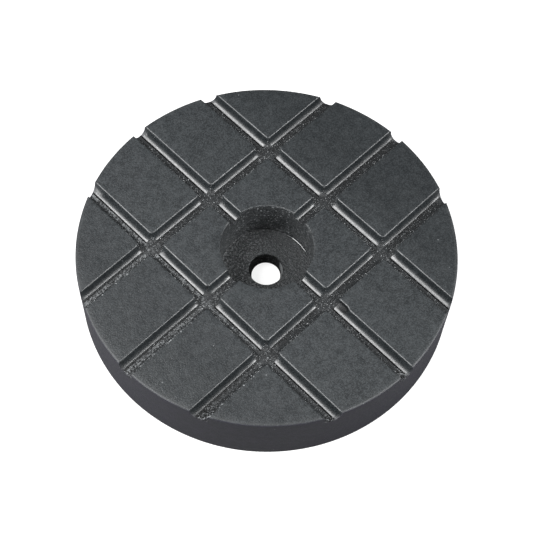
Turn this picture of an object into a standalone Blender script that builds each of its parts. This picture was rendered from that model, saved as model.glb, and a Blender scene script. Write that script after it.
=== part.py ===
"""Round rubber pad for the arm of a vehicle lift, modelled in metres.

The pad is one moulded piece: a thick disc with a flat underside, a gripping face cut into
lands by straight grooves that cross at right angles, and a counterbored bolt hole.
The origin is the middle of the underside. +Z is up, and the grooves run along X and Y.
"""

import math

import bmesh
import bpy
from mathutils import Matrix

# The disc
PAD_DIAMETER = 0.120
PAD_THICKNESS = 0.0225
RIM_ROUNDING = 0.0008
UNDERSIDE_ROUNDING = 0.0006

# The counterbore that takes the bolt head
COUNTERBORE_DIAMETER = 0.0294
COUNTERBORE_FILLET = 0.0010
COUNTERBORE_LIP_ROUNDING = 0.0004
RUBBER_UNDER_BOLT_HEAD = 0.0068

# The bolt hole, which tapers from its mouth to a neck and opens again at the underside
BOLT_HOLE_MOUTH_DIAMETER = 0.0112
BOLT_HOLE_NECK_DIAMETER = 0.0093
BOLT_HOLE_CHAMFER = 0.0025

# The grooves of the gripping face: a flat floor, and concave feet that meet it in a crease
GROOVES_EACH_WAY = 3
GROOVE_SPACING = 0.0258
GROOVE_WIDTH = 0.0051
GROOVE_DEPTH = 0.0034
GROOVE_FOOT_RADIUS = 0.0027
GROOVE_CREASE_SLOPE = math.radians(20)
GROOVE_WALL_SLOPE = math.radians(80)

# The lands between the grooves
LAND_EDGE_ROUNDING = 0.0004
LAND_CORNER_ROUNDING = 0.0008

# How finely round forms are cut into flats
DISC_SEGMENTS = 120
ROUNDING_SEGMENTS = 3
GROOVE_FOOT_SEGMENTS = 3
LAND_CORNER_SEGMENTS = 4
SHARP_ANGLE = math.radians(35)

# The most of a groove's half width or of its wall that a foot may take
MOST_OF_GROOVE = 0.95

# How far a cutter runs on past the faces that it cuts
CUTTER_OVERRUN = 0.0020
EDGE_OVERRUN = 0.00002
MERGE_DISTANCE = 0.00001

PAD_RADIUS = PAD_DIAMETER / 2
GROOVE_FLOOR_HEIGHT = PAD_THICKNESS - GROOVE_DEPTH


def clear_scene():
    """Remove every object, so that the model starts from nothing."""
    for obj in list(bpy.data.objects):
        bpy.data.objects.remove(obj, do_unlink=True)


def add_collection(name):
    """Add a collection to the scene."""
    collection = bpy.data.collections.new(name)
    bpy.context.scene.collection.children.link(collection)
    return collection


def add_object(name, mesh, collection):
    """Add a mesh object at the origin."""
    obj = bpy.data.objects.new(name, mesh)
    collection.objects.link(obj)
    return obj


def add_cutter(name, bm, collection):
    """Add an object that only cuts others, shown as wire and never rendered."""
    mesh = bpy.data.meshes.new(name)
    bm.to_mesh(mesh)
    bm.free()
    cutter = add_object(name, mesh, collection)
    cutter.hide_render = True
    cutter.display_type = "WIRE"
    return cutter


def subtract(obj, cutter):
    """Cut one object out of another."""
    cut = obj.modifiers.new("Cut " + cutter.name, "BOOLEAN")
    cut.operation = "DIFFERENCE"
    cut.solver = "EXACT"
    cut.object = cutter


def apply_modifiers(obj):
    """Make what an object's modifiers give its own mesh."""
    evaluated = obj.evaluated_get(bpy.context.evaluated_depsgraph_get())
    shaped = bpy.data.meshes.new_from_object(evaluated)
    obj.modifiers.clear()
    obj.data = shaped


def black_rubber():
    """Dark slate-grey moulded rubber with a soft sheen."""
    material = bpy.data.materials.new("black_rubber")
    material.use_nodes = True
    shader = material.node_tree.nodes["Principled BSDF"]
    shader.inputs["Base Color"].default_value = (0.050, 0.054, 0.056, 1.0)
    shader.inputs["Roughness"].default_value = 0.60
    shader.inputs["Metallic"].default_value = 0.0
    return material


def arc(centre, radius, start, end):
    """Points (distance from the axis, height) along a rounding, with the angles in degrees."""
    points = []
    for step in range(ROUNDING_SEGMENTS + 1):
        angle = math.radians(start + (end - start) * step / ROUNDING_SEGMENTS)
        points.append((centre[0] + radius * math.cos(angle), centre[1] + radius * math.sin(angle)))
    return points


def disc_section():
    """The closed half section of the disc, from the bolt hole outwards and down the rim."""
    neck = BOLT_HOLE_NECK_DIAMETER / 2
    bore = COUNTERBORE_DIAMETER / 2
    seat = RUBBER_UNDER_BOLT_HEAD
    lip = COUNTERBORE_LIP_ROUNDING
    section = [(BOLT_HOLE_MOUTH_DIAMETER / 2, seat)]
    section += arc((bore - COUNTERBORE_FILLET, seat + COUNTERBORE_FILLET),
                   COUNTERBORE_FILLET, -90, 0)
    section += arc((bore + lip, PAD_THICKNESS - lip), lip, 180, 90)
    section += arc((PAD_RADIUS - RIM_ROUNDING, PAD_THICKNESS - RIM_ROUNDING), RIM_ROUNDING, 90, 0)
    section += arc((PAD_RADIUS - UNDERSIDE_ROUNDING, UNDERSIDE_ROUNDING),
                   UNDERSIDE_ROUNDING, 0, -90)
    section += [(neck + BOLT_HOLE_CHAMFER, 0.0), (neck, BOLT_HOLE_CHAMFER)]
    return section


def turned_disc(collection):
    """The disc with its counterbore and bolt hole, turned from its half section."""
    section = disc_section()
    count = len(section)
    mesh = bpy.data.meshes.new("rubber_pad")
    mesh.from_pydata([(distance, 0.0, height) for distance, height in section],
                     [(index, (index + 1) % count) for index in range(count)], [])
    disc = add_object("rubber_pad", mesh, collection)
    turn = disc.modifiers.new("Turn", "SCREW")
    turn.axis = "Z"
    turn.angle = math.tau
    turn.steps = DISC_SEGMENTS
    turn.render_steps = DISC_SEGMENTS
    turn.use_merge_vertices = True
    turn.merge_threshold = MERGE_DISTANCE
    return disc


def arc_steps(radius, start, end, segments):
    """Steps (inwards, upwards) along a rounding whose slope turns from start to end."""
    steps = []
    for index in range(segments):
        here = start + (end - start) * index / segments
        there = start + (end - start) * (index + 1) / segments
        steps.append((radius * abs(math.sin(there) - math.sin(here)),
                      radius * abs(math.cos(there) - math.cos(here))))
    return steps


def land_wall():
    """The wall of a land as steps (inwards, upwards) from the groove floor to its flat top.

    The foot is concave from the crease up to the slope of the wall, and the edge rounds over.
    The foot's radius is limited by the groove's width and depth.
    """
    lean = 1 / math.tan(GROOVE_WALL_SLOPE)
    foot_run = math.sin(GROOVE_WALL_SLOPE) - math.sin(GROOVE_CREASE_SLOPE)
    foot_rise = math.cos(GROOVE_CREASE_SLOPE) - math.cos(GROOVE_WALL_SLOPE)
    edge = arc_steps(LAND_EDGE_ROUNDING, GROOVE_WALL_SLOPE, 0.0, ROUNDING_SEGMENTS)
    wall_height = GROOVE_DEPTH - sum(upwards for _, upwards in edge)
    widest = (MOST_OF_GROOVE * GROOVE_WIDTH / 2 - GROOVE_DEPTH * lean) / (foot_run - foot_rise * lean)
    tallest = MOST_OF_GROOVE * wall_height / foot_rise
    foot_radius = min(GROOVE_FOOT_RADIUS, widest, tallest)
    foot = arc_steps(foot_radius, GROOVE_CREASE_SLOPE, GROOVE_WALL_SLOPE, GROOVE_FOOT_SEGMENTS)
    wall_height -= sum(upwards for _, upwards in foot)
    return foot + [(wall_height * lean, wall_height)] + edge


def land_spans():
    """The stretches (low, high) of the lands along one axis, out to well past the rim."""
    reach = PAD_RADIUS + GROOVE_SPACING
    first_groove = -GROOVE_SPACING * (GROOVES_EACH_WAY - 1) / 2
    ends = [-reach]
    for index in range(GROOVES_EACH_WAY):
        middle = first_groove + GROOVE_SPACING * index
        ends += [middle - GROOVE_WIDTH / 2, middle + GROOVE_WIDTH / 2]
    ends.append(reach)
    return list(zip(ends[0::2], ends[1::2]))


def add_land(bm, span_x, span_y):
    """Add one land with its walls, as a block that runs on below the floor and above the face.

    A rectangle gets round corners, is raised to the groove floor, and then steps inwards and
    upwards along the wall.
    """
    wall = land_wall()
    wall_run = sum(inwards for inwards, _ in wall)
    spread = 2 * (wall_run - LAND_EDGE_ROUNDING * math.tan(GROOVE_WALL_SLOPE / 2))
    middle = Matrix.Translation((sum(span_x) / 2, sum(span_y) / 2,
                                 GROOVE_FLOOR_HEIGHT - CUTTER_OVERRUN))
    size = Matrix.Diagonal((span_x[1] - span_x[0] + spread, span_y[1] - span_y[0] + spread, 1, 1))
    corners = bmesh.ops.create_grid(bm, x_segments=1, y_segments=1, size=0.5,
                                    matrix=middle @ size)["verts"]
    outline = bmesh.ops.bevel(bm, geom=corners, offset=LAND_CORNER_ROUNDING + wall_run,
                              segments=LAND_CORNER_SEGMENTS, profile=0.5, affect="VERTICES")
    bottom = outline["verts"][0].link_faces[0]
    raised = bmesh.ops.extrude_face_region(bm, geom=[bottom])["geom"]
    top = next(item for item in raised if isinstance(item, bmesh.types.BMFace))
    bmesh.ops.translate(bm, vec=(0.0, 0.0, CUTTER_OVERRUN), verts=top.verts)

    edge_run, edge_rise = wall[-1]
    past_the_face = [(EDGE_OVERRUN * edge_run / edge_rise, EDGE_OVERRUN), (0.0, 2 * CUTTER_OVERRUN)]
    for inwards, upwards in wall + past_the_face:
        bmesh.ops.inset_region(bm, faces=[top], thickness=inwards, depth=upwards,
                               use_boundary=True, use_even_offset=True)


def land_blocks(collection):
    """All the lands, as the blocks that the grooves leave standing."""
    bm = bmesh.new()
    for span_x in land_spans():
        for span_y in land_spans():
            add_land(bm, span_x, span_y)
    bmesh.ops.recalc_face_normals(bm, faces=bm.faces)
    return add_cutter("land_blocks", bm, collection)


def groove_slab(collection):
    """A slab from the groove floor up through the gripping face, wider than the disc."""
    bm = bmesh.new()
    width = PAD_DIAMETER + 2 * CUTTER_OVERRUN
    height = GROOVE_DEPTH + CUTTER_OVERRUN
    middle = Matrix.Translation((0.0, 0.0, GROOVE_FLOOR_HEIGHT + height / 2))
    bmesh.ops.create_cube(bm, size=1.0, matrix=middle @ Matrix.Diagonal((width, width, height, 1)))
    return add_cutter("groove_slab", bm, collection)


def shade(obj, material):
    """Give a piece its material, and smooth shading that breaks at its edges."""
    obj.data.materials.clear()
    obj.data.materials.append(material)
    obj.data.shade_smooth()
    obj.data.set_sharp_from_angle(angle=SHARP_ANGLE)


def build():
    """Make the pad: the turned disc, less the slab that the lands stand in."""
    clear_scene()
    parts = add_collection("lift_arm_rubber_pad")
    cutters = add_collection("cutters")
    grooves = groove_slab(cutters)
    subtract(grooves, land_blocks(cutters))
    pad = turned_disc(parts)
    subtract(pad, grooves)
    apply_modifiers(pad)
    shade(pad, black_rubber())


build()
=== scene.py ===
"""Looks for the round rubber pad of a vehicle lift arm: the moulding, its grit and the stage.

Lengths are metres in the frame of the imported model: the origin is the middle of the underside,
+Z is up, and the grooves run along X and Y.
"""

import math
from types import SimpleNamespace

import bmesh
import bpy
import numpy as np
from mathutils import Matrix, Vector


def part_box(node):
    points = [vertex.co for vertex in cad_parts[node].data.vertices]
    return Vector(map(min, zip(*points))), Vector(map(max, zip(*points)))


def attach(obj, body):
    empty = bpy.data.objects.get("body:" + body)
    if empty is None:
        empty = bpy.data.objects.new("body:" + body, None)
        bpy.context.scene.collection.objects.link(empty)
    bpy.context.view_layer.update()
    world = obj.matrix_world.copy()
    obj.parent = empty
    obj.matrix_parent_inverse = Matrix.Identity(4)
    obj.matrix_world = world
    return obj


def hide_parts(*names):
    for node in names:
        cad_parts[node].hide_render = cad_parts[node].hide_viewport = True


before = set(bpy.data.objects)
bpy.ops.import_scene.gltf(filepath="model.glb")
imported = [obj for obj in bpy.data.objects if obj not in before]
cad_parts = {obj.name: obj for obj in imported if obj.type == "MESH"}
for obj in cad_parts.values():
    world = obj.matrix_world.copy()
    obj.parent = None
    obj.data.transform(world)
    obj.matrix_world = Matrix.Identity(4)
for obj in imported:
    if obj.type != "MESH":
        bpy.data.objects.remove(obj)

bl_info = {
    "name": "Lift Arm Rubber Pad",
    "version": (1, 0, 0),
    "blender": (4, 5, 0),
    "location": "3D View > Sidebar > Lift Pad",
    "description": "Builds a moulded rubber lift pad, its grit and a plain stage",
    "category": "Object",
}

NODE = "rubber_pad"
PAD_LOW, PAD_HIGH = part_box(NODE)

# How finely the moulding is cut into flats
TURN_SEGMENTS = 240
ROUNDING_SEGMENTS = 7
FOOT_SEGMENTS = 8
CORNER_SEGMENTS = 8
FACE_RINGS = 24
SIDE_RINGS = 8
LAND_STEP = 0.0005
SHARP_ANGLE = math.radians(17)

# How far a cutter runs on past the faces that it cuts
OVERRUN = 0.0020
EDGE_OVERRUN = 0.00002

# Worn spots as x, y and radius: scuffed groove ends at the rim, and a scoop in one groove's edge
SCUFFED_ENDS = ((-0.0588, 0.0, 0.0060), (-0.0530, -0.0255, 0.0085),
                (0.0, -0.0588, 0.0040), (-0.0258, -0.0538, 0.0035))
SCOOP = ((0.0026, -0.0308, 0.0030),)
SCOOP_DEPTH = 0.00055

# Across a groove, past its middle: where grit, the painted shade beside the crease, the dust and
# painted light on the floor, scuffs and the painted shade in the scoop start and end
GRIT_HALF_WIDTH = 0.0029
GRIT_END = {"X": (0.0005, 0.0002), "Y": (0.0012, 0.0008)}
CREASE_SHADE = {"X": ((0.00014, 0.00028), (0.00076, 0.00066)),
          "Y": ((0.00030, 0.00060), (0.00108, 0.00092))}
CREASE_SHADE_SHARE = {"X": 1.0, "Y": 0.6}
CROSSING_HALF_WIDTH = 0.0026
CROSSING_END = (0.0030, 0.0022)
DUST_AND_LIGHT_STRIP = ((-0.0011, -0.0006), (0.0007, 0.0001))
SCUFF_STRIP = (-0.0031, 0.0006)
SCOOP_SHADE_WALL = (0.0012, 0.0017, 0.0, 0.7)

# Over the face: where groove floors carry dust and painted light, and where their low edges are beaded
DUST_AND_LIGHT_X = (-0.016, -0.026)
DUST_AND_LIGHT_Y = (-0.030, -0.010, 0.15, 1.0)
BEADED_X = (-0.029, -0.037)

# Below the face: where a groove's looks start, where the scoop fades and where edges are worn
GROOVE_TOP = (0.0002, 0.0005)
SCOOP_FADE = (0.0026, 0.0010)
EDGE_WEAR = ((0.00010, 0.00016), (0.00055, 0.00038))

# Where the wandering of the surface sets in above the underside
WANDER_RISE = (0.0006, 0.0030)

# How wide the chipped strip of an edge is, and how far a groove's looks may reach past its floor
LOW_EDGE_WIDTH = 0.0004
FLOOR_SLACK = 0.0004

# How far crumbs keep from the rim and from the counterbore's wall, and their scale along each axis
CRUMBS_FROM_RIM = 0.0009
CRUMBS_FROM_BORE = 0.0006
CRUMB_SCALE = {"Min": (0.25, 0.25, 0.20), "Max": (1.0, 0.9, 0.7)}

# Where the counterbore's fillet is polished, as the far share of a direction from the axis
POLISHED = ((0.36, 0.50), (0.93, 0.82))

# Above the seat: where the fillet ends, where dust and painted light lighten the counterbore, where the
# seat gets less of that and where glints lie
FILLET_RISE = (0.0006, 0.0004)
SETTLED_AND_LIT_RISE = (0.0140, 0.0, 0.3, 1.0)
SETTLED_AND_LIT_X = (-0.0135, -0.0075, 0.1, 1.0)
SPARED_RISE = (0.0010, 0.0004)
SPARED_ASIDE = (-0.006, 0.004)
GLINT_RISE = (0.0006, 0.0014, 0.16, 0.60)

# The hole: the width of its mouth's edge, and the painted reflection, a light strip on its wall below
# the seat
MOUTH_EDGE = 0.0004
HOLE_REFLECTION_RISE = ((-0.0034, -0.0026, 0.0, 0.6), (-0.0005, -0.0010))
HOLE_REFLECTION_ASIDE = (0.0040, 0.0048)

# Black for the painted shade beside the creases, in the scoop and in the bolt hole, and for dark pits
# in scuffed spots
SHADE_AND_PIT_BLACK = (0.001, 0.001, 0.001)

# The photograph's view, found from its outline and groove crossings
PHOTO_WIDTH = 533
FOCAL_PIXELS = 1312.632
CAMERA_ELEVATION = math.radians(62.295)
CAMERA_ROLL = math.radians(2.590)
CAMERA_TURN = math.radians(46.865)
CAMERA_DISTANCE = 0.411634
CAMERA_ASIDE = (-0.000201, -0.006381)
SENSOR_WIDTH = 36.0

# Each lamp as its direction (aside, nearer, rise), distance, width and height
LAMPS = {"key": (-0.575, 0.152, 0.803, 0.58, 0.30, 0.30),
         "fill": (-0.76, 0.34, 0.55, 0.60, 0.34, 0.30),
         "low": (-0.88, 0.44, 0.20, 0.60, 0.30, 0.24),
         "side": (0.760, 0.250, 0.600, 0.75, 0.32, 0.42)}

# The floor: its half width, its gap below the underside, which keeps the two faces out of one
# plane, and how white it looks by itself and where the lamps reach it
FLOOR_HALF_WIDTH = 6.0
FLOOR_GAP = 0.00005
FLOOR_GLOW = 0.84
FLOOR_GREY = (0.22, 0.22, 0.22, 1.0)
WHITE = (1.0, 1.0, 1.0, 1.0)


class PadSizes(bpy.types.PropertyGroup):
    """Sizes of the moulding."""

    diameter: bpy.props.FloatProperty(
        name="Diameter", description="Width of the whole pad",
        default=PAD_HIGH.x - PAD_LOW.x, unit="LENGTH")
    thickness: bpy.props.FloatProperty(
        name="Thickness", description="Height of the gripping face over the underside",
        default=PAD_HIGH.z - PAD_LOW.z, unit="LENGTH")
    rim_rounding: bpy.props.FloatProperty(
        name="Rim Rounding", description="Radius of the upper edge of the rim",
        default=0.0008, unit="LENGTH")
    underside_rounding: bpy.props.FloatProperty(
        name="Underside Rounding", description="Radius of the lower edge of the rim",
        default=0.0006, unit="LENGTH")
    counterbore_diameter: bpy.props.FloatProperty(
        name="Counterbore", description="Width of the recess for the bolt head",
        default=0.0294, unit="LENGTH")
    counterbore_fillet: bpy.props.FloatProperty(
        name="Counterbore Fillet", description="Radius where its wall meets its floor",
        default=0.0005, unit="LENGTH")
    counterbore_lip: bpy.props.FloatProperty(
        name="Counterbore Lip", description="Radius of its upper edge",
        default=0.0004, unit="LENGTH")
    seat_height: bpy.props.FloatProperty(
        name="Seat Height", description="Rubber left under the bolt head",
        default=0.0068, unit="LENGTH")
    hole_mouth: bpy.props.FloatProperty(
        name="Hole Mouth", description="Width of the bolt hole at the seat",
        default=0.0112, unit="LENGTH")
    hole_neck: bpy.props.FloatProperty(
        name="Hole Neck", description="Width of the bolt hole where it is narrowest",
        default=0.0093, unit="LENGTH")
    hole_chamfer: bpy.props.FloatProperty(
        name="Hole Chamfer", description="Height of the cone that opens at the underside",
        default=0.0025, unit="LENGTH")
    groove_spacing: bpy.props.FloatProperty(
        name="Groove Spacing", description="From the middle of a groove to that of the next",
        default=0.0258, unit="LENGTH")
    groove_width: bpy.props.FloatProperty(
        name="Groove Width", description="Width of a groove between its upper edges",
        default=0.0051, unit="LENGTH")
    groove_depth: bpy.props.FloatProperty(
        name="Groove Depth", description="Depth of the groove floor below the gripping face",
        default=0.0034, unit="LENGTH")
    foot_radius: bpy.props.FloatProperty(
        name="Foot Radius", description="Radius of the concave foot of a groove's wall",
        default=0.0027, unit="LENGTH")
    crease_slope: bpy.props.FloatProperty(
        name="Crease Slope", description="Slope of the foot where it meets the floor",
        default=math.radians(20), subtype="ANGLE")
    wall_slope: bpy.props.FloatProperty(
        name="Wall Slope", description="Slope of a groove's upper wall",
        default=math.radians(80), subtype="ANGLE")
    land_edge: bpy.props.FloatProperty(
        name="Land Edge", description="Radius of the upper edges of the lands",
        default=0.0004, unit="LENGTH")
    land_corner: bpy.props.FloatProperty(
        name="Land Corner", description="Radius of the corners of the lands, seen from above",
        default=0.0008, unit="LENGTH")
    waviness: bpy.props.FloatProperty(
        name="Waviness", description="How far the moulded surface wanders below its true form",
        default=0.00009, unit="LENGTH")
    nick_depth: bpy.props.FloatProperty(
        name="Nick Depth", description="Depth of the small nicks along the edges",
        default=0.00032, unit="LENGTH")


class GritSizes(bpy.types.PropertyGroup):
    """Sizes of the rough crumbs that the mould leaves in the grooves."""

    crumb_size: bpy.props.FloatProperty(
        name="Crumb Size", description="Radius of the largest crumbs",
        default=0.00028, unit="LENGTH")
    crumbs_per_area: bpy.props.FloatProperty(
        name="Crumbs", description="Crumbs on a square metre where they lie thickest",
        default=4500000.0)
    seed: bpy.props.IntProperty(
        name="Seed", description="Another number lays the crumbs in other places", default=7)


class RubberLook(bpy.types.PropertyGroup):
    """Colours and gloss of the rubber."""

    dark: bpy.props.FloatVectorProperty(
        name="Dark Rubber", description="Colour of the rubber where it is darkest",
        default=(0.0034, 0.0044, 0.0051), subtype="COLOR")
    light: bpy.props.FloatVectorProperty(
        name="Light Rubber", description="Colour where the surface has greyed",
        default=(0.0156, 0.0182, 0.0198), subtype="COLOR")
    # Partly the smooth wall's own tone, partly painted shade that darkens the wall round the rim
    side: bpy.props.FloatVectorProperty(
        name="Side Wall", description="Colour of the smooth wall round the rim",
        default=(0.0084, 0.0080, 0.0132), subtype="COLOR")
    pit: bpy.props.FloatVectorProperty(
        name="Pits", description="Colour of the rough rubber between the crumbs and in the counterbore",
        default=(0.006, 0.0066, 0.0072), subtype="COLOR")
    # This colour also paints light: the reflection in the bolt hole, the glints and the lightened
    # groove floors and counterbore, beside real dust and scuffs
    dust_and_light: bpy.props.FloatVectorProperty(
        name="Dust", description="Colour of the specks of dust and of scuffed edges",
        default=(0.160, 0.167, 0.171), subtype="COLOR")
    roughness: bpy.props.FloatProperty(
        name="Roughness", description="Roughness of the lands",
        default=0.44, subtype="FACTOR")


class StageLook(bpy.types.PropertyGroup):
    """The floor and the light."""

    floor: bpy.props.FloatVectorProperty(
        name="Floor", description="Colour of the floor as the pad sees it",
        default=(0.12, 0.12, 0.12), subtype="COLOR")
    key_light: bpy.props.FloatProperty(
        name="Key Light", description="Brightness of the lamp on the left, where white is 1",
        default=27.0)
    fill_light: bpy.props.FloatProperty(
        name="Fill Light", description="Brightness of the wide lamp beside it",
        default=5.0)
    low_light: bpy.props.FloatProperty(
        name="Low Light", description="Brightness of the lamp low on the left",
        default=13.0)
    side_light: bpy.props.FloatProperty(
        name="Side Light", description="Brightness of the lamp on the right",
        default=32.0)
    sky: bpy.props.FloatProperty(
        name="Sky", description="Brightness of the even light from all round",
        default=0.16)


# Meshes and nodes


def new_object(name, mesh):
    """Add a mesh object at the origin."""
    obj = bpy.data.objects.new(name, mesh)
    bpy.context.scene.collection.objects.link(obj)
    return obj


def finished_mesh(obj):
    """Turn what an object's nodes give into its own plain mesh."""
    evaluated = obj.evaluated_get(bpy.context.evaluated_depsgraph_get())
    mesh = bpy.data.meshes.new_from_object(evaluated)
    obj.modifiers.clear()
    obj.data = mesh


def in_fixed_order(mesh):
    """A bare copy with its points and faces sorted by place, as a cut leaves them in any order."""
    places = np.array([vertex.co for vertex in mesh.vertices])
    order = np.lexsort(places.T)
    rank = {int(old): new for new, old in enumerate(order)}
    faces = []
    for polygon in mesh.polygons:
        corners = [rank[index] for index in polygon.vertices]
        first = corners.index(min(corners))
        faces.append(corners[first:] + corners[:first])
    fixed = bpy.data.meshes.new(mesh.name)
    fixed.from_pydata(places[order].tolist(), [], sorted(faces))
    return fixed


def new_tree(name, inputs):
    """A Geometry Nodes tree with a Geometry input and output and the named inputs."""
    tree = bpy.data.node_groups.new(name, "GeometryNodeTree")
    tree.interface.new_socket("Geometry", in_out="OUTPUT", socket_type="NodeSocketGeometry")
    tree.interface.new_socket("Geometry", in_out="INPUT", socket_type="NodeSocketGeometry")
    for label, kind in inputs:
        tree.interface.new_socket(label, in_out="INPUT", socket_type="NodeSocket" + kind)
    return tree


def add_nodes_modifier(obj, tree, values):
    """Run a tree on an object, with its named inputs set by their identifiers."""
    modifier = obj.modifiers.new(tree.name, "NODES")
    modifier.node_group = tree
    for item in tree.interface.items_tree:
        if item.in_out == "INPUT" and item.name in values:
            modifier[item.identifier] = values[item.name]


def feed(tree, socket, value):
    """Link a socket to another node's output, or set it to a plain value."""
    if isinstance(value, bpy.types.NodeSocket):
        tree.links.new(value, socket)
    else:
        socket.default_value = value


def add_node(tree, kind, inputs=None, **settings):
    """Add a node with its settings, and feed its inputs."""
    node = tree.nodes.new(kind)
    for name, value in settings.items():
        setattr(node, name, value)
    for name, value in (inputs or {}).items():
        feed(tree, node.inputs[name], value)
    return node


def maths(tree, operation, *values):
    """The result of one step of arithmetic."""
    inputs = dict(enumerate(values))
    return add_node(tree, "ShaderNodeMath", inputs, operation=operation).outputs[0]


def times(tree, *values):
    """The product of some values."""
    total = values[0]
    for value in values[1:]:
        total = maths(tree, "MULTIPLY", total, value)
    return total


def largest(tree, *values):
    """The largest of some values."""
    most = values[0]
    for value in values[1:]:
        most = maths(tree, "MAXIMUM", most, value)
    return most


def added_up(tree, base, *terms):
    """A base value plus some values, each times its own weight."""
    total = base
    for value, weight in terms:
        total = maths(tree, "ADD", total, times(tree, value, weight))
    return total


def all_but(tree, value, share=1.0):
    """What is left of one when a share of a value is taken off."""
    return maths(tree, "SUBTRACT", 1.0, times(tree, value, share))


def vector(tree, operation, *values):
    """The node of one step of arithmetic with vectors."""
    return add_node(tree, "ShaderNodeVectorMath", dict(enumerate(values)), operation=operation)


def ramp(tree, value, start, end, low=0.0, high=1.0):
    """A value that goes smoothly from low to high as another goes from start to end."""
    inputs = {"Value": value, "From Min": start, "From Max": end, "To Min": low, "To Max": high}
    return add_node(tree, "ShaderNodeMapRange", inputs,
                    interpolation_type="SMOOTHSTEP").outputs["Result"]


def band(tree, value, rise, fall):
    """A value that rises as another passes the first stretch, and falls again at the second."""
    return times(tree, ramp(tree, value, *rise), ramp(tree, value, *fall))


def noise(tree, place, scale, detail=3.0, roughness=0.5):
    """A soft random value about 0.5, whose patches are about 1 / scale wide."""
    inputs = {"Vector": place, "Scale": scale, "Detail": detail, "Roughness": roughness}
    return add_node(tree, "ShaderNodeTexNoise", inputs).outputs["Fac"]


def from_axis(tree, axes):
    """How far a place lies from the axis of the bolt hole."""
    flat = add_node(tree, "ShaderNodeCombineXYZ", {"X": axes["X"], "Y": axes["Y"]})
    return vector(tree, "LENGTH", flat.outputs["Vector"]).outputs["Value"]


def from_groove(tree, along, spacing):
    """How far a place lies past the middle of the nearest of the three grooves, along one axis."""
    number = maths(tree, "ROUND", maths(tree, "DIVIDE", along, spacing))
    number = maths(tree, "MINIMUM", maths(tree, "MAXIMUM", number, -1.0), 1.0)
    return maths(tree, "SUBTRACT", along, times(tree, number, spacing))


def grit_share(tree, axes, spacing, top, depth):
    """Where grit clings: to the floor and the low side of each groove, and where grooves cross."""
    inside, share = [], 0.0
    for axis, end in GRIT_END.items():
        past = from_groove(tree, axes[axis], spacing)
        inside.append(maths(tree, "LESS_THAN", maths(tree, "ABSOLUTE", past), GRIT_HALF_WIDTH))
        share = largest(tree, share, times(tree, inside[-1], ramp(tree, past, *end)))
    crossing = times(tree, *inside, 0.8)
    fall = maths(tree, "SUBTRACT", top, axes["Z"])
    above_floor = maths(tree, "LESS_THAN", fall, maths(tree, "ADD", depth, FLOOR_SLACK))
    below_face = ramp(tree, fall, 0.00020, 0.00045)
    return times(tree, largest(tree, share, crossing), times(tree, below_face, above_floor))


def chipped_edge(tree, past, width, reach):
    """The ragged low edge of the grooves across one axis, whose chips reach into the land."""
    past_edge = maths(tree, "ADD", past, width / 2)
    return times(tree, maths(tree, "GREATER_THAN", past_edge, times(tree, reach, -1.0)),
                 maths(tree, "LESS_THAN", past_edge, LOW_EDGE_WIDTH))


def near_spots(tree, place, spots):
    """How near a place is to one of a few worn spots (x, y, radius), seen from above."""
    flat = vector(tree, "MULTIPLY", place, (1.0, 1.0, 0.0)).outputs["Vector"]
    share = 0.0
    for x, y, radius in spots:
        gap = vector(tree, "DISTANCE", flat, (x, y, 0.0)).outputs["Value"]
        share = largest(tree, share, ramp(tree, gap, radius, 0.4 * radius))
    return share


# The moulding


def arc(centre, radius, start, end):
    """Points (distance from the axis, height) along a rounding, with the angles in degrees."""
    return [(centre[0] + radius * math.cos(angle), centre[1] + radius * math.sin(angle))
            for angle in np.radians(np.linspace(start, end, ROUNDING_SEGMENTS + 1))]


def disc_section(sizes):
    """The closed half section of the disc, from the bolt hole outwards and down the rim."""
    outer, top, bore = sizes.diameter / 2, sizes.thickness, sizes.counterbore_diameter / 2
    rim, low_rim, lip = sizes.rim_rounding, sizes.underside_rounding, sizes.counterbore_lip
    fillet, seat, neck = sizes.counterbore_fillet, sizes.seat_height, sizes.hole_neck / 2
    bore_wall = np.linspace(seat + fillet, top - lip, SIDE_RINGS)[1:-1]
    face = np.linspace(bore + lip, outer - rim, FACE_RINGS)[1:-1]
    side = np.linspace(top - rim, low_rim, SIDE_RINGS)[1:-1]
    underside = np.linspace(outer - low_rim, neck + sizes.hole_chamfer, FACE_RINGS)[1:]
    section = [(neck, sizes.hole_chamfer), (sizes.hole_mouth / 2, seat)]
    section += arc((bore - fillet, seat + fillet), fillet, -90, 0)
    section += [(bore, height) for height in bore_wall]
    section += arc((bore + lip, top - lip), lip, 180, 90)
    section += [(distance, top) for distance in face]
    section += arc((outer - rim, top - rim), rim, 90, 0)
    section += [(outer, height) for height in side]
    section += arc((outer - low_rim, low_rim), low_rim, 0, -90)
    section += [(distance, 0.0) for distance in underside]
    return section


def section_object(sizes):
    """The half section as a closed line, with its height along the object's own Y."""
    section = disc_section(sizes)
    mesh = bpy.data.meshes.new("disc_section")
    mesh.from_pydata([(distance, height, 0.0) for distance, height in section],
                     [(index, (index + 1) % len(section)) for index in range(len(section))], [])
    return new_object("rubber_pad_moulding", mesh)


def arc_steps(radius, start, end, segments):
    """Steps (inwards, upwards) along a rounding whose slope turns from start to end."""
    slopes = np.linspace(start, end, segments + 1)
    return [(radius * abs(math.sin(b) - math.sin(a)), radius * abs(math.cos(b) - math.cos(a)))
            for a, b in zip(slopes, slopes[1:])]


def land_wall(sizes):
    """The wall of a land as steps (inwards, upwards) from the groove floor to its flat top."""
    foot = arc_steps(sizes.foot_radius, sizes.crease_slope, sizes.wall_slope, FOOT_SEGMENTS)
    edge = arc_steps(sizes.land_edge, sizes.wall_slope, 0.0, ROUNDING_SEGMENTS)
    wall_height = sizes.groove_depth - sum(upwards for _, upwards in foot + edge)
    return foot + [(wall_height / math.tan(sizes.wall_slope), wall_height)] + edge


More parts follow.
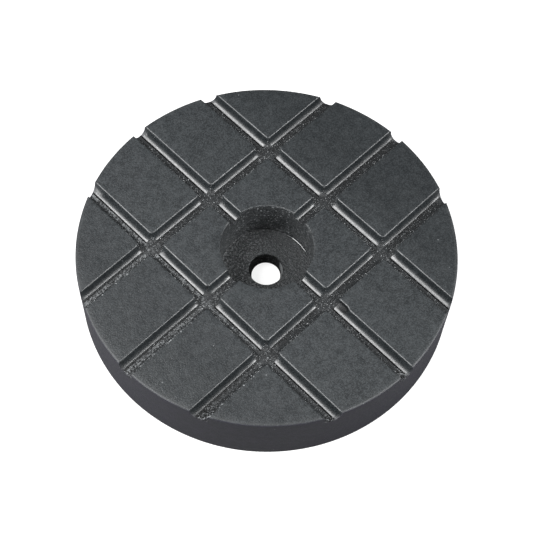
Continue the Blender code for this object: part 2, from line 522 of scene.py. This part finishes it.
def land_object(sizes):
    """One square land with its walls, as a block that runs on below the floor and above the face."""
    wall = land_wall(sizes)
    wall_run = sum(inwards for inwards, _ in wall)
    flat_run = wall_run - sizes.land_edge * math.tan(sizes.wall_slope / 2)
    side = sizes.groove_spacing - sizes.groove_width + 2 * flat_run
    floor = sizes.thickness - sizes.groove_depth
    bm = bmesh.new()
    corners = bmesh.ops.create_grid(
        bm, x_segments=1, y_segments=1, size=side / 2,
        matrix=Matrix.Translation((0.0, 0.0, floor - OVERRUN)))["verts"]
    bmesh.ops.bevel(bm, geom=corners, offset=sizes.land_corner + wall_run,
                    segments=CORNER_SEGMENTS, profile=0.5, affect="VERTICES")
    straight = [edge for edge in bm.edges if edge.calc_length() > 4 * LAND_STEP]
    cuts = round(straight[0].calc_length() / LAND_STEP) - 1
    bmesh.ops.subdivide_edges(bm, edges=straight, cuts=cuts)
    bottom = next(iter(bm.faces))
    raised = bmesh.ops.extrude_face_region(bm, geom=[bottom])["geom"]
    top = next(item for item in raised if isinstance(item, bmesh.types.BMFace))
    bmesh.ops.translate(bm, vec=(0.0, 0.0, OVERRUN), verts=top.verts)
    edge_run, edge_rise = wall[-1]
    past_the_face = [(EDGE_OVERRUN * edge_run / edge_rise, EDGE_OVERRUN), (0.0, 2 * OVERRUN)]
    for inwards, upwards in wall + past_the_face:
        bmesh.ops.inset_region(bm, faces=[top], thickness=inwards, depth=upwards,
                               use_boundary=True, use_even_offset=True)
    bmesh.ops.recalc_face_normals(bm, faces=bm.faces)
    mesh = bpy.data.meshes.new("land_block")
    bm.to_mesh(mesh)
    bm.free()
    return new_object("land_block", mesh)


def turned(tree, section):
    """Turn a closed line about the Z axis."""
    path_radius = 1.0
    line = add_node(tree, "GeometryNodeMeshToCurve", {"Mesh": section}).outputs["Curve"]
    line = add_node(tree, "GeometryNodeTransform",
                    {"Geometry": line, "Translation": (-path_radius, 0.0, 0.0),
                     "Rotation": (math.pi, 0.0, 0.0)}).outputs["Geometry"]
    path = add_node(tree, "GeometryNodeCurvePrimitiveCircle",
                    {"Resolution": TURN_SEGMENTS, "Radius": path_radius}, mode="RADIUS")
    return add_node(tree, "GeometryNodeCurveToMesh",
                    {"Curve": path.outputs["Curve"], "Profile Curve": line}).outputs["Mesh"]


def land_pattern(tree, given):
    """Sixteen lands on a square pattern, with the outer ones drawn out past the rim."""
    across = times(tree, given["Groove Spacing"], 3.0)
    points = add_node(tree, "GeometryNodeMeshGrid", {
        "Size X": across, "Size Y": across, "Vertices X": 4, "Vertices Y": 4}).outputs["Mesh"]
    block = add_node(tree, "GeometryNodeObjectInfo", {"Object": given["Land Block"]})
    lands = add_node(tree, "GeometryNodeInstanceOnPoints",
                     {"Points": points, "Instance": block.outputs["Geometry"]}).outputs["Instances"]
    lands = add_node(tree, "GeometryNodeRealizeInstances", {"Geometry": lands})
    place = add_node(tree, "GeometryNodeInputPosition").outputs["Position"]
    axes = add_node(tree, "ShaderNodeSeparateXYZ", {"Vector": place}).outputs
    outer_middle = times(tree, given["Groove Spacing"], 1.5)
    reach = {}
    for axis in ("X", "Y"):
        outer = maths(tree, "GREATER_THAN", maths(tree, "ABSOLUTE", axes[axis]), outer_middle)
        away = times(tree, maths(tree, "SIGN", axes[axis]), given["Groove Spacing"])
        reach[axis] = times(tree, outer, away)
    offset = add_node(tree, "ShaderNodeCombineXYZ", reach).outputs["Vector"]
    return add_node(tree, "GeometryNodeSetPosition", {
        "Geometry": lands.outputs["Geometry"], "Offset": offset}).outputs["Geometry"]


def less(tree, whole, cutter):
    """Cut one closed mesh out of another."""
    node = add_node(tree, "GeometryNodeMeshBoolean", operation="DIFFERENCE", solver="EXACT")
    tree.links.new(whole, node.inputs["Mesh 1"])
    tree.links.new(cutter, node.inputs["Mesh 2"])
    return node.outputs["Mesh"]


def weathered(tree, geometry, given):
    """Let the surface wander a little below its true form, with small nicks along its edges."""
    place = add_node(tree, "GeometryNodeInputPosition").outputs["Position"]
    normal = add_node(tree, "GeometryNodeInputNormal").outputs["Normal"]
    height = add_node(tree, "ShaderNodeSeparateXYZ", {"Vector": place}).outputs["Z"]
    facing = add_node(tree, "ShaderNodeSeparateXYZ", {"Vector": normal}).outputs
    above_base = ramp(tree, height, *WANDER_RISE)
    wander = times(tree, noise(tree, place, 120.0, 2.0), given["Waviness"])
    near_face = ramp(tree, height, given["Nick Floor"], given["Pad Thickness"])
    low_edges = ramp(tree, largest(tree, facing["X"], facing["Y"]), 0.1, 0.4, 0.35, 1.0)
    on_edge = times(tree, low_edges, ramp(tree, facing["Z"], 0.98, 0.85), near_face)
    nicks = ramp(tree, noise(tree, place, 700.0, 2.0), 0.52, 0.66)
    nicks = times(tree, nicks, on_edge, given["Nick Depth"])
    sunk = times(tree, maths(tree, "ADD", wander, nicks), above_base)
    inwards = vector(tree, "SCALE", normal)
    feed(tree, inwards.inputs["Scale"], times(tree, sunk, -1.0))
    fall = maths(tree, "SUBTRACT", given["Pad Thickness"], height)
    scoop = times(tree, near_spots(tree, place, SCOOP), ramp(tree, fall, *SCOOP_FADE), SCOOP_DEPTH)
    scooped = add_node(tree, "ShaderNodeCombineXYZ", {"X": scoop}).outputs["Vector"]
    moved = vector(tree, "ADD", inwards.outputs["Vector"], scooped).outputs["Vector"]
    return add_node(tree, "GeometryNodeSetPosition",
                    {"Geometry": geometry, "Offset": moved}).outputs["Geometry"]


def moulding_tree():
    """Turns the disc, stands the lands on their pattern and cuts the grooves between them."""
    tree = new_tree("Grooved Pad", [
        ("Land Block", "Object"), ("Groove Spacing", "Float"), ("Groove Depth", "Float"),
        ("Pad Diameter", "Float"), ("Pad Thickness", "Float"), ("Nick Floor", "Float"),
        ("Waviness", "Float"), ("Nick Depth", "Float"), ("Rubber", "Material")])
    given = add_node(tree, "NodeGroupInput").outputs
    width = maths(tree, "ADD", given["Pad Diameter"], 2 * OVERRUN)
    height = maths(tree, "ADD", given["Groove Depth"], OVERRUN)
    middle = maths(tree, "SUBTRACT", maths(tree, "ADD", given["Pad Thickness"], OVERRUN),
                   maths(tree, "DIVIDE", height, 2.0))
    size = add_node(tree, "ShaderNodeCombineXYZ", {"X": width, "Y": width, "Z": height})
    slab = add_node(tree, "GeometryNodeMeshCube", {"Size": size.outputs["Vector"]}).outputs["Mesh"]
    lift = add_node(tree, "ShaderNodeCombineXYZ", {"Z": middle}).outputs["Vector"]
    slab = add_node(tree, "GeometryNodeTransform",
                    {"Geometry": slab, "Translation": lift}).outputs["Geometry"]
    grooves = less(tree, slab, land_pattern(tree, given))
    pad = less(tree, turned(tree, given["Geometry"]), grooves)
    pad = weathered(tree, pad, given)
    pad = add_node(tree, "GeometryNodeRealizeInstances", {"Geometry": pad}).outputs["Geometry"]
    pad = add_node(tree, "GeometryNodeSetMaterial",
                   {"Geometry": pad, "Material": given["Rubber"]}).outputs["Geometry"]
    out = add_node(tree, "NodeGroupOutput")
    tree.links.new(pad, out.inputs["Geometry"])
    return tree


# The grit


def grit_tree():
    """Strews crumbs where grit clings, and gives each its own shade."""
    tree = new_tree("Moulding Grit", [
        ("Pad Diameter", "Float"), ("Pad Thickness", "Float"), ("Counterbore", "Float"),
        ("Groove Spacing", "Float"), ("Groove Depth", "Float"), ("Crumb Size", "Float"),
        ("Crumbs", "Float"), ("Seed", "Int"), ("Rubber", "Material")])
    given = add_node(tree, "NodeGroupInput").outputs
    place = add_node(tree, "GeometryNodeInputPosition").outputs["Position"]
    axes = add_node(tree, "ShaderNodeSeparateXYZ", {"Vector": place}).outputs
    distance = from_axis(tree, axes)
    radius = maths(tree, "DIVIDE", given["Pad Diameter"], 2.0)
    bore = maths(tree, "DIVIDE", given["Counterbore"], 2.0)
    inside = maths(tree, "LESS_THAN", distance, maths(tree, "SUBTRACT", radius, CRUMBS_FROM_RIM))
    outside = maths(tree, "GREATER_THAN", distance, maths(tree, "ADD", bore, CRUMBS_FROM_BORE))
    on_face = times(tree, inside, outside)
    patches = ramp(tree, noise(tree, place, 210.0, 3.0), 0.36, 0.60, 0.15, 1.0)
    patches = added_up(tree, patches, (near_spots(tree, place, SCUFFED_ENDS), 1.5))
    clinging = grit_share(tree, axes, given["Groove Spacing"], given["Pad Thickness"],
                          given["Groove Depth"])
    density = times(tree, given["Crumbs"], times(tree, on_face, times(tree, patches, clinging)))
    points = add_node(tree, "GeometryNodeDistributePointsOnFaces",
                      {"Mesh": given["Geometry"], "Density": density, "Seed": given["Seed"]},
                      distribute_method="RANDOM").outputs["Points"]
    crumb = add_node(tree, "GeometryNodeMeshIcoSphere",
                     {"Radius": given["Crumb Size"], "Subdivisions": 1})
    turn = add_node(tree, "FunctionNodeRandomValue",
                    {"Min": (0.0, 0.0, 0.0), "Max": (math.tau, math.tau, math.tau), "Seed": 1},
                    data_type="FLOAT_VECTOR").outputs["Value"]
    scale = add_node(tree, "FunctionNodeRandomValue", {**CRUMB_SCALE, "Seed": 2},
                     data_type="FLOAT_VECTOR").outputs["Value"]
    crumbs = add_node(tree, "GeometryNodeInstanceOnPoints",
                      {"Points": points, "Selection": on_face, "Instance": crumb.outputs["Mesh"],
                       "Rotation": turn, "Scale": scale}).outputs["Instances"]
    shade = add_node(tree, "FunctionNodeRandomValue", {"Seed": 3}, data_type="FLOAT")
    stored = add_node(tree, "GeometryNodeStoreNamedAttribute", {"Geometry": crumbs, "Name": "shade"},
                      data_type="FLOAT", domain="INSTANCE")
    tree.links.new(shade.outputs[1], stored.inputs["Value"])
    crumbs = add_node(tree, "GeometryNodeRealizeInstances",
                      {"Geometry": stored.outputs["Geometry"]}).outputs["Geometry"]
    crumbs = add_node(tree, "GeometryNodeSetMaterial",
                      {"Geometry": crumbs, "Material": given["Rubber"]}).outputs["Geometry"]
    out = add_node(tree, "NodeGroupOutput")
    tree.links.new(crumbs, out.inputs["Geometry"])
    return tree


# Materials


def mixed(tree, share, low, high):
    """A colour between two others, which may be colours or sockets."""
    node = add_node(tree, "ShaderNodeMix", data_type="RGBA")
    feed(tree, node.inputs["Factor"], share)
    for socket, colour in ((node.inputs[6], low), (node.inputs[7], high)):
        feed(tree, socket, colour if isinstance(colour, bpy.types.NodeSocket) else (*colour, 1.0))
    return node.outputs[2]


def specks(tree, place, scale, share, size):
    """Round specks in some of the cells of a random pattern, with their cells 1 / scale wide."""
    cells = add_node(tree, "ShaderNodeTexVoronoi", {"Vector": place, "Scale": scale}).outputs
    chance = add_node(tree, "ShaderNodeSeparateColor", {"Color": cells["Color"]}).outputs["Red"]
    return times(tree, maths(tree, "LESS_THAN", chance, share),
                 ramp(tree, cells["Distance"], size, 0.6 * size))


def rubber_places(tree, sizes):
    """Where a point of the rubber lies in the pad and as the photograph shows it."""
    place = add_node(tree, "ShaderNodeTexCoord").outputs["Object"]
    axes = add_node(tree, "ShaderNodeSeparateXYZ", {"Vector": place}).outputs
    distance = from_axis(tree, axes)
    bore, outer = sizes.counterbore_diameter / 2, sizes.diameter / 2
    in_bore = times(tree, ramp(tree, distance, bore + 0.0003, bore + 0.0001),
                    maths(tree, "GREATER_THAN", axes["Z"], 0.0001))
    on_side = ramp(tree, distance, outer - 0.0004, outer - 0.0002)
    cosine, sine = math.cos(CAMERA_TURN), math.sin(CAMERA_TURN)
    aside = added_up(tree, times(tree, axes["X"], cosine), (axes["Y"], -sine))
    farther = added_up(tree, times(tree, axes["X"], sine), (axes["Y"], cosine))
    return SimpleNamespace(
        place=place, axes=axes, distance=distance, in_bore=in_bore, on_side=on_side,
        on_floors=all_but(tree, largest(tree, in_bore, on_side)),
        fall=maths(tree, "SUBTRACT", sizes.thickness, axes["Z"]),
        above_seat=maths(tree, "SUBTRACT", axes["Z"], sizes.seat_height),
        aside=aside, farther=maths(tree, "DIVIDE", farther, distance),
        outlying=ramp(tree, maths(tree, "ABSOLUTE", axes["X"]), 0.020, 0.042),
        past={axis: from_groove(tree, axes[axis], sizes.groove_spacing) for axis in ("X", "Y")})


def groove_masks(tree, at, sizes):
    """The parts of the grooves with looks of their own."""
    in_reach = maths(tree, "LESS_THAN", at.fall, sizes.groove_depth + FLOOR_SLACK)
    groove = times(tree, ramp(tree, at.fall, *GROOVE_TOP), in_reach, at.on_floors)
    gritty = times(tree, groove, grit_share(tree, at.axes, sizes.groove_spacing,
                                            sizes.thickness, sizes.groove_depth))
    away = {axis: maths(tree, "ABSOLUTE", past) for axis, past in at.past.items()}
    crossed = ramp(tree, largest(tree, *away.values()), *CROSSING_END)
    strips = largest(tree, *(band(tree, past, *DUST_AND_LIGHT_STRIP) for past in at.past.values()))
    # Dust and painted light: groove floors lightened towards their left ends, partly dust, partly
    # painted light where the low lamp reaches in
    dust_and_light = times(tree, ramp(tree, at.axes["X"], *DUST_AND_LIGHT_X), ramp(tree, at.axes["Y"], *DUST_AND_LIGHT_Y),
                 groove, strips, all_but(tree, crossed, 0.6))
    # Painted shade: a dark line along the floor of each groove, beside the crease where the foot on its
    # positive side begins
    crease_shade = 0.0
    for axis, other in (("X", "Y"), ("Y", "X")):
        clear = maths(tree, "GREATER_THAN", away[other], CROSSING_HALF_WIDTH)
        line = times(tree, band(tree, at.past[axis], *CREASE_SHADE[axis]), clear, CREASE_SHADE_SHARE[axis])
        crease_shade = largest(tree, crease_shade, line)
    low, high = SCUFF_STRIP
    low_side = largest(tree, *(times(tree, maths(tree, "GREATER_THAN", past, low),
                                     maths(tree, "LESS_THAN", past, high))
                               for past in at.past.values()))
    scuffed = times(tree, near_spots(tree, at.place, SCUFFED_ENDS), low_side, in_reach)
    # Painted shade: the wall of the scoop is blackened where it is hollowed out
    scoop = times(tree, near_spots(tree, at.place, SCOOP), groove,
                  ramp(tree, at.past["X"], *SCOOP_SHADE_WALL))
    return SimpleNamespace(
        gritty=gritty, foot=times(tree, groove, all_but(tree, gritty)), dust_and_light=dust_and_light,
        crease_shade=times(tree, crease_shade, groove), scuffed=scuffed, scoop=scoop)


def bore_masks(tree, at, sizes):
    """The parts of the counterbore and of the bolt hole with looks of their own."""
    bore, mouth = sizes.counterbore_diameter / 2, sizes.hole_mouth / 2
    fillet = times(tree, ramp(tree, at.distance, bore - 0.0006, bore - 0.0004),
                   ramp(tree, at.above_seat, *FILLET_RISE), band(tree, at.farther, *POLISHED),
                   maths(tree, "GREATER_THAN", at.aside, 0.0))
    rough = times(tree, at.in_bore, ramp(tree, at.fall, 0.0002, 0.0012, 0.3, 1.0),
                  all_but(tree, fillet))
    # The bolt hole below the seat: its wall is blackened with painted shade
    hole = times(tree, maths(tree, "LESS_THAN", at.above_seat, -0.0002),
                 maths(tree, "LESS_THAN", at.distance, mouth + MOUTH_EDGE))
    open_parts = maths(tree, "SUBTRACT", rough, hole)
    # Dust and painted light: the counterbore lightened most low down, less towards -X where painted
    # shade falls, and less on the right part of the seat
    spared = times(tree, ramp(tree, at.above_seat, *SPARED_RISE), ramp(tree, at.aside, *SPARED_ASIDE))
    settled_dust_and_light = times(tree, ramp(tree, at.above_seat, *SETTLED_AND_LIT_RISE), all_but(tree, spared, 0.85),
                    ramp(tree, at.axes["X"], *SETTLED_AND_LIT_X), open_parts)
    glints = times(tree, specks(tree, at.place, 1150.0, 0.34, 0.40), open_parts,
                   ramp(tree, at.above_seat, *GLINT_RISE))
    # Painted reflection: a light strip on one side of the hole's wall below the seat
    hole_reflection = times(tree, ramp(tree, at.aside, *HOLE_REFLECTION_ASIDE),
                   ramp(tree, at.distance, mouth + MOUTH_EDGE, mouth),
                   band(tree, at.above_seat, *HOLE_REFLECTION_RISE))
    return SimpleNamespace(
        fillet=fillet, foot=times(tree, fillet, ramp(tree, at.distance, bore + 0.0003, bore)),
        rough=rough, hole=hole, settled_dust_and_light=settled_dust_and_light, glints=glints, hole_reflection=hole_reflection)


def edge_masks(tree, at, sizes, grit):
    """The chipped, beaded and worn edges of the lands, and the rim."""
    ragged = ramp(tree, noise(tree, at.place, 1000.0, 2.0, 0.6), 0.46, 0.66, -0.0001, 0.0005)
    low_edges = {axis: chipped_edge(tree, past, sizes.groove_width, ragged)
                 for axis, past in at.past.items()}
    on_land = times(tree, at.on_floors, maths(tree, "LESS_THAN", at.fall, sizes.groove_depth))
    beads = times(tree, low_edges["Y"], on_land, ramp(tree, at.axes["X"], *BEADED_X),
                  ramp(tree, grit, 0.50, 0.56))
    bore, outer = sizes.counterbore_diameter / 2, sizes.diameter / 2
    rim = ramp(tree, at.distance, outer - 0.0012, outer - 0.0008)
    lip = ramp(tree, at.distance, bore + 0.0010, bore + 0.0006)
    wear = added_up(tree, ramp(tree, rim, 0.0, 1.0, 0.22, 0.05), (lip, -0.14))
    worn = times(tree, band(tree, at.fall, *EDGE_WEAR), wear,
                 ramp(tree, noise(tree, at.place, 900.0, 3.0, 0.7), 0.35, 0.60))
    return SimpleNamespace(chips=times(tree, largest(tree, *low_edges.values()), on_land),
                           beads=beads, rim=rim, worn=worn)


def moulded_rubber(look, sizes):
    """Dark rubber: greyed in patches, glossy on the feet of the grooves, gritty beside them."""
    material = bpy.data.materials.new("moulded_rubber")
    material.use_nodes = True
    tree = material.node_tree
    shader = tree.nodes["Principled BSDF"]
    at = rubber_places(tree, sizes)
    mottle = noise(tree, at.place, 60.0, 5.0, 0.6)
    cloud = noise(tree, at.place, 420.0, 4.0, 0.6)
    grain = noise(tree, at.place, 2300.0, 2.0, 0.6)
    grit = noise(tree, at.place, 1500.0, 3.0, 0.7)
    groove = groove_masks(tree, at, sizes)
    bore = bore_masks(tree, at, sizes)
    edges = edge_masks(tree, at, sizes, grit)
    rough = largest(tree, groove.gritty, times(tree, bore.rough, 0.55))
    foot = largest(tree, groove.foot, bore.foot)

    grey = added_up(tree, 0.0, (ramp(tree, mottle, 0.30, 0.70), 0.22),
                    (ramp(tree, cloud, 0.30, 0.70), 0.26), (ramp(tree, grain, 0.43, 0.62), 0.86))
    grey = times(tree, grey, all_but(tree, at.outlying, 0.34))
    # Painted shade beside the creases, in the scoop and in the bolt hole, with dark pits where groove
    # ends are scuffed
    painted_shade_and_pits = largest(tree, times(tree, groove.crease_shade, 0.9), times(tree, bore.hole, 0.8),
                    times(tree, groove.scuffed, ramp(tree, grit, 0.52, 0.46, 0.0, 0.8)), groove.scoop)
    fine = times(tree, specks(tree, at.place, 2200.0, 0.26, 0.42), rough,
                 added_up(tree, 0.45, (groove.dust_and_light, 0.35)))
    dots = times(tree, specks(tree, at.place, 420.0, 0.05, 0.10), 0.4)
    flecks = largest(tree, edges.beads,
                     times(tree, groove.scuffed, ramp(tree, grit, 0.55, 0.62, 0.0, 0.7)))
    # Worn edges and dust specks, with painted light: the hole's reflection and the glints
    dust_wear_and_light = largest(tree, edges.worn, bore.hole_reflection, fine, dots, bore.glints, times(tree, flecks, 0.9))
    colour = mixed(tree, grey, look.dark, look.light)
    for share, tint in (
            # The side wall: its own tone, darkened with painted shade
            (times(tree, at.on_side, ramp(tree, cloud, 0.30, 0.70, 1.0, 0.5)), look.side),
            (times(tree, rough, ramp(tree, grit, 0.40, 0.62, 1.0, 0.35)), look.pit),
            # Groove floors lightened by dust and painted light
            (times(tree, groove.dust_and_light, ramp(tree, grit, 0.42, 0.60, 0.0, 0.55)), look.dust_and_light),
            # Dust and painted light in the counterbore
            (times(tree, bore.settled_dust_and_light, ramp(tree, grit, 0.50, 0.60, 0.0, 0.34)), look.dust_and_light),
            (times(tree, edges.chips, 0.8), look.pit), (painted_shade_and_pits, SHADE_AND_PIT_BLACK), (dust_wear_and_light, look.dust_and_light)):
        colour = mixed(tree, share, colour, tint)
    tree.links.new(colour, shader.inputs["Base Color"])

    roughness = added_up(tree, look.roughness, (maths(tree, "SUBTRACT", cloud, 0.5), 0.22),
                         (foot, -0.07), (rough, 0.20), (edges.rim, 0.14), (bore.fillet, -0.10))
    tree.links.new(roughness, shader.inputs["Roughness"])
    dull = largest(tree, times(tree, largest(tree, rough, edges.chips), 0.22), times(tree, painted_shade_and_pits, 0.42),
                   times(tree, at.outlying, 0.07), times(tree, edges.rim, 0.12))
    tree.links.new(maths(tree, "SUBTRACT", 0.5, dull), shader.inputs["Specular IOR Level"])

    even = times(tree, added_up(tree, 0.0, (grain, 0.40), (cloud, 0.24)), all_but(tree, foot, 0.8))
    coarse = times(tree, grit, largest(tree, groove.gritty, times(tree, bore.rough, 1.8)))
    bump = add_node(tree, "ShaderNodeBump", {
        "Height": added_up(tree, even, (coarse, 1.5)), "Distance": 0.0002, "Strength": 1.0})
    tree.links.new(bump.outputs["Normal"], shader.inputs["Normal"])
    return material


def crumb_rubber(look):
    """The crumbs: mostly dark rubber, with some that are covered in dust and catch the light."""
    material = bpy.data.materials.new("crumb_rubber")
    material.use_nodes = True
    tree = material.node_tree
    shader = tree.nodes["Principled BSDF"]
    place = add_node(tree, "ShaderNodeTexCoord").outputs["Object"]
    shade = add_node(tree, "ShaderNodeAttribute", attribute_name="shade").outputs["Fac"]
    colour = mixed(tree, ramp(tree, shade, 0.0, 0.7), look.pit, look.light)
    colour = mixed(tree, ramp(tree, shade, 0.70, 0.95), colour, look.dust_and_light)
    tree.links.new(colour, shader.inputs["Base Color"])
    shader.inputs["Roughness"].default_value = 0.40
    bump = add_node(tree, "ShaderNodeBump",
                    {"Height": noise(tree, place, 6000.0, 2.0), "Distance": 0.0001, "Strength": 1.0})
    tree.links.new(bump.outputs["Normal"], shader.inputs["Normal"])
    return material


def white_stage(look):
    """A pale floor that reads as white, keeps the pad's shadow and is clear from below."""
    material = bpy.data.materials.new("pale_floor")
    material.use_nodes = True
    tree = material.node_tree
    tree.nodes.remove(tree.nodes["Principled BSDF"])
    shown = add_node(tree, "ShaderNodeEmission", {"Color": WHITE, "Strength": FLOOR_GLOW})
    lit = add_node(tree, "ShaderNodeBsdfDiffuse", {"Color": FLOOR_GREY})
    seen = add_node(tree, "ShaderNodeAddShader", {0: shown.outputs[0], 1: lit.outputs[0]})
    unseen = add_node(tree, "ShaderNodeBsdfDiffuse", {"Color": (*look.floor, 1.0)})
    path = add_node(tree, "ShaderNodeLightPath").outputs
    both = add_node(tree, "ShaderNodeMixShader",
                    {0: path["Is Camera Ray"], 1: unseen.outputs[0], 2: seen.outputs[0]})
    clear = add_node(tree, "ShaderNodeBsdfTransparent")
    from_below = add_node(tree, "ShaderNodeNewGeometry").outputs["Backfacing"]
    in_gap = maths(tree, "LESS_THAN", path["Ray Length"], 4 * FLOOR_GAP)
    floor = add_node(tree, "ShaderNodeMixShader", {
        0: largest(tree, from_below, in_gap), 1: both.outputs[0], 2: clear.outputs[0]})
    tree.links.new(floor.outputs[0], tree.nodes["Material Output"].inputs["Surface"])
    return material


# The stage


def camera_axes():
    """The photograph's right, up and back directions in the pad's frame."""
    turn, rise, roll = CAMERA_TURN, CAMERA_ELEVATION, CAMERA_ROLL
    right = Vector((math.cos(turn), -math.sin(turn), 0.0))
    back = Vector((-math.sin(turn) * math.cos(rise), -math.cos(turn) * math.cos(rise),
                   math.sin(rise)))
    up = back.cross(right)
    return (math.cos(roll) * right + math.sin(roll) * up,
            -math.sin(roll) * right + math.cos(roll) * up, back)


def add_camera(sizes):
    """The camera that took the photograph."""
    right, up, back = camera_axes()
    data = bpy.data.cameras.new("photograph")
    data.sensor_width = SENSOR_WIDTH
    data.lens = FOCAL_PIXELS / PHOTO_WIDTH * SENSOR_WIDTH
    data.clip_start = 0.01
    camera = bpy.data.objects.new("photograph", data)
    bpy.context.scene.collection.objects.link(camera)
    place = (Vector((0.0, 0.0, sizes.thickness)) + CAMERA_DISTANCE * back
             + CAMERA_ASIDE[0] * right + CAMERA_ASIDE[1] * up)
    camera.matrix_world = Matrix.Translation(place) @ Matrix((right, up, back)).transposed().to_4x4()
    bpy.context.scene.camera = camera


def add_lamp(name, aside, nearer, rise, distance, width, height, brightness):
    """A soft lamp, placed by its direction from the pad as the photograph shows it."""
    right = Vector((math.cos(CAMERA_TURN), -math.sin(CAMERA_TURN), 0.0))
    nearwards = Vector((-math.sin(CAMERA_TURN), -math.cos(CAMERA_TURN), 0.0))
    direction = (aside * right + nearer * nearwards + Vector((0.0, 0.0, rise))).normalized()
    data = bpy.data.lights.new(name, "AREA")
    data.shape = "RECTANGLE"
    data.size = width
    data.size_y = height
    data.energy = brightness * math.pi * width * height
    lamp = bpy.data.objects.new(name, data)
    bpy.context.scene.collection.objects.link(lamp)
    lamp.location = direction * distance
    lamp.rotation_mode = "QUATERNION"
    lamp.rotation_quaternion = direction.to_track_quat("Z", "Y")


def add_sky(look):
    """White to the camera, and a soft even light for everything else."""
    world = bpy.data.worlds.new("studio")
    world.use_nodes = True
    tree = world.node_tree
    background = tree.nodes["Background"]
    path = add_node(tree, "ShaderNodeLightPath")
    background.inputs["Color"].default_value = WHITE
    strength = add_node(tree, "ShaderNodeMapRange", {
        "Value": path.outputs["Is Camera Ray"], "To Min": look.sky, "To Max": 1.0})
    tree.links.new(strength.outputs["Result"], background.inputs["Strength"])
    bpy.context.scene.world = world


class LIFTPAD_OT_moulding(bpy.types.Operator):
    """Build the moulded rubber pad"""

    bl_idname = "liftpad.moulding"
    bl_label = "Build Moulding"

    def execute(self, context):
        sizes = context.scene.pad_sizes
        pad = section_object(sizes)
        land = land_object(sizes)
        rubber = moulded_rubber(context.scene.rubber_look, sizes)
        add_nodes_modifier(pad, moulding_tree(), {
            "Land Block": land, "Groove Spacing": sizes.groove_spacing,
            "Groove Depth": sizes.groove_depth, "Pad Diameter": sizes.diameter,
            "Pad Thickness": sizes.thickness, "Nick Floor": sizes.thickness - sizes.land_edge,
            "Waviness": sizes.waviness, "Nick Depth": sizes.nick_depth, "Rubber": rubber})
        finished_mesh(pad)
        bpy.data.objects.remove(land)
        if len(pad.data.polygons) == 0:
            raise RuntimeError("The moulding came out empty")
        pad.data = in_fixed_order(pad.data)
        pad.data.materials.append(rubber)
        pad.data.shade_smooth()
        pad.data.set_sharp_from_angle(angle=SHARP_ANGLE)
        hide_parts(NODE)
        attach(pad, "root")
        return {"FINISHED"}


class LIFTPAD_OT_grit(bpy.types.Operator):
    """Strew the crumbs of moulding grit in the grooves"""

    bl_idname = "liftpad.grit"
    bl_label = "Strew Grit"

    def execute(self, context):
        sizes, grit = context.scene.pad_sizes, context.scene.grit_sizes
        moulding = bpy.data.objects["rubber_pad_moulding"]
        crumbs = new_object("moulding_grit", moulding.data.copy())
        add_nodes_modifier(crumbs, grit_tree(), {
            "Pad Diameter": sizes.diameter, "Pad Thickness": sizes.thickness,
            "Counterbore": sizes.counterbore_diameter, "Groove Spacing": sizes.groove_spacing,
            "Groove Depth": sizes.groove_depth, "Crumb Size": grit.crumb_size,
            "Crumbs": grit.crumbs_per_area, "Seed": grit.seed,
            "Rubber": crumb_rubber(context.scene.rubber_look)})
        finished_mesh(crumbs)
        if len(crumbs.data.polygons) == 0:
            raise RuntimeError("No crumbs were strewn")
        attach(crumbs, "root")
        return {"FINISHED"}


class LIFTPAD_OT_stage(bpy.types.Operator):
    """Set the floor, the lamps, the sky and the camera"""

    bl_idname = "liftpad.stage"
    bl_label = "Set Stage"

    def execute(self, context):
        look = context.scene.stage_look
        bm = bmesh.new()
        bmesh.ops.create_grid(bm, x_segments=1, y_segments=1, size=FLOOR_HALF_WIDTH,
                              matrix=Matrix.Translation((0.0, 0.0, -FLOOR_GAP)))
        mesh = bpy.data.meshes.new("floor")
        bm.to_mesh(mesh)
        bm.free()
        mesh.materials.append(white_stage(look))
        new_object("floor", mesh)
        for name, layout in LAMPS.items():
            add_lamp(name + "_lamp", *layout, getattr(look, name + "_light"))
        add_sky(look)
        add_camera(context.scene.pad_sizes)
        context.scene.view_settings.view_transform = "Standard"
        return {"FINISHED"}


class LIFTPAD_PT_panel(bpy.types.Panel):
    """Sizes, looks and buttons of the lift pad"""

    bl_idname = "LIFTPAD_PT_panel"
    bl_label = "Lift Pad"
    bl_space_type = "VIEW_3D"
    bl_region_type = "UI"
    bl_category = "Lift Pad"

    def draw(self, context):
        for group in SETTINGS:
            box = self.layout.box()
            for name in SETTINGS[group].__annotations__:
                box.prop(getattr(context.scene, group), name)
        for operator in OPERATORS:
            self.layout.operator(operator.bl_idname)


SETTINGS = {"pad_sizes": PadSizes, "grit_sizes": GritSizes,
            "rubber_look": RubberLook, "stage_look": StageLook}
OPERATORS = (LIFTPAD_OT_moulding, LIFTPAD_OT_grit, LIFTPAD_OT_stage)


def register():
    """Register the classes and give the scene their settings."""
    for group, kind in SETTINGS.items():
        bpy.utils.register_class(kind)
        setattr(bpy.types.Scene, group, bpy.props.PointerProperty(type=kind))
    for kind in (*OPERATORS, LIFTPAD_PT_panel):
        bpy.utils.register_class(kind)


def unregister():
    """Take the classes and the settings away again."""
    for kind in (LIFTPAD_PT_panel, *reversed(OPERATORS)):
        bpy.utils.unregister_class(kind)
    for group, kind in reversed(SETTINGS.items()):
        delattr(bpy.types.Scene, group)
        bpy.utils.unregister_class(kind)


def main():
    """Build the pad and its stage."""
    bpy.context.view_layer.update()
    register()
    bpy.ops.liftpad.moulding()
    bpy.ops.liftpad.grit()
    bpy.ops.liftpad.stage()


if __name__ == "__main__":
    main()
